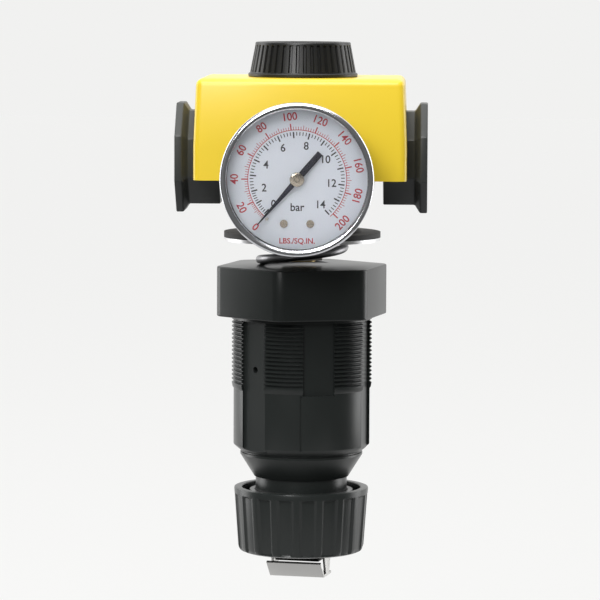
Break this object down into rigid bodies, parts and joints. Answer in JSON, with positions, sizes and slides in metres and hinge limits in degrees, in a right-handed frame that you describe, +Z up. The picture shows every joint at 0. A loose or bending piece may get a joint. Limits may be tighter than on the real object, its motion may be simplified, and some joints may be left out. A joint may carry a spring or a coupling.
{
  "type": "air pressure regulator",
  "caption": "Panel-mounting air pressure regulator with a yellow cover, black cast body, gauge, threaded bonnet, adjusting knob and lock bail.",
  "frame": {"origin": "centre of the hexagon collar's lower face, which bears on the panel, on the vertical axis of screw, spring and valve", "axes": "+Z up towards the valve cap, -Y towards the gauge's dial, -X the inlet flange, +X the outlet flange"},
  "size_m": [0.0924, 0.0938, 0.1984],
  "materials": {
    "black_cast": "satin black stoved paint over die casting",
    "yellow_cover": "smooth yellow gloss paint",
    "black_plastic": "moulded black nylon, slight sheen",
    "cap_plastic": "moulded black nylon",
    "bail_steel": "zinc plated sheet",
    "plated_steel": "zinc plated steel",
    "spring_steel": "drawn spring wire",
    "brass": "turned brass",
    "aluminium": "pressed aluminium",
    "rubber": "nitrile rubber",
    "gauge_steel": "black painted steel case",
    "bezel_chrome": "bright plated bezel",
    "clear_window": "clear polycarbonate window",
    "dial_white": "white enamel with printed scales",
    "pointer_black": "black enamel"
  },
  "bodies": {
    "housing": {"body": "black_cast", "top_cover": "yellow_cover", "valve_seat": "brass", "bonnet": "black_plastic", "slip_ring": "aluminium", "diaphragm": "rubber", "rear_port_plug": "plated_steel", "rear_plug_washer": "rubber", "gauge_socket": "brass", "gauge_case": "gauge_steel", "gauge_bezel": "bezel_chrome", "gauge_window": "clear_window", "gauge_dial": "dial_white", "dial_screws": "plated_steel", "stop_pin": "plated_steel", "bourdon_tube": "brass", "movement_frame": "brass", "movement_screws": "plated_steel", "link": "brass", "hairspring": "brass", "thrust_washer": "plated_steel", "knob_detent_ring": "rubber", "main_spring": "spring_steel", "valve_spring": "spring_steel"},
    "cap_seal": {"cap_o_ring": "rubber"},
    "cap": {"valve_cap": "cap_plastic"},
    "poppet": {"valve_poppet": "brass", "poppet_seal": "rubber"},
    "diaphragm_set": {"diaphragm_plate": "aluminium", "spring_plate": "aluminium", "relief_hub": "brass", "hub_nut": "plated_steel"},
    "travelling_nut": {"spring_nut": "brass"},
    "screw": {"adjusting_screw": "plated_steel", "retaining_clip": "spring_steel"},
    "knob": {"adjusting_knob": "black_plastic"},
    "bail": {"lock_bail": "bail_steel"},
    "sector": {"sector_gear": "brass"},
    "pointer": {"pointer": "pointer_black", "pointer_hub": "plated_steel", "pinion_shaft": "plated_steel"}
  },
  "joints": [
    {"name": "cap_lift", "type": "slide", "parent": "housing", "child": "cap_seal", "axis": [0, 0, 1], "range_m": [0, 0.006]},
    {"name": "cap_turn", "type": "hinge", "parent": "cap_seal", "child": "cap", "pos_m": [0, 0, 0.0882], "axis": [0, 0, 1], "range_deg": [0, 1440.03]},
    {"name": "valve_lift", "type": "slide", "parent": "housing", "child": "poppet", "axis": [0, 0, 1], "range_m": [0, 0.0015], "deforming": ["valve_spring"]},
    {"name": "diaphragm_lift", "type": "slide", "parent": "housing", "child": "diaphragm_set", "axis": [0, 0, 1], "range_m": [0, 0.0015], "stiffness_N_per_m": 2000, "deforming": ["diaphragm"]},
    {"name": "knob_turn", "type": "hinge", "parent": "housing", "child": "screw", "pos_m": [0, 0, -0.0642], "axis": [0, 0, 1], "range_deg": [0, 2880.04]},
    {"name": "nut_travel", "type": "slide", "parent": "housing", "child": "travelling_nut", "axis": [0, 0, 1], "range_m": [0, 0.012], "deforming": ["main_spring"]},
    {"name": "knob_push", "type": "slide", "parent": "screw", "child": "knob", "axis": [0, 0, 1], "range_m": [0, 0.005]},
    {"name": "bail_slide", "type": "slide", "parent": "knob", "child": "bail", "axis": [0, 0, 1], "range_m": [0, 0.0035]},
    {"name": "sector_turn", "type": "hinge", "parent": "housing", "child": "sector", "pos_m": [-0.0144, -0.0476, 0.0532], "axis": [0, -1, 0], "range_deg": [0, 34.2], "stiffness_Nm_per_rad": 0.001},
    {"name": "pointer_turn", "type": "hinge", "parent": "housing", "child": "pointer", "pos_m": [0, -0.0548, 0.0532], "axis": [0, 1, 0], "range_deg": [0, 273.61]}
  ],
  "couplings": [
    {"joint": "cap_turn", "follows": "cap_lift", "rad_per_m": 4188.8},
    {"joint": "valve_lift", "follows": "diaphragm_lift", "ratio": 1},
    {"joint": "knob_turn", "follows": "nut_travel", "rad_per_m": 4188.8},
    {"joint": "pointer_turn", "follows": "sector_turn", "ratio": 8}
  ]
}
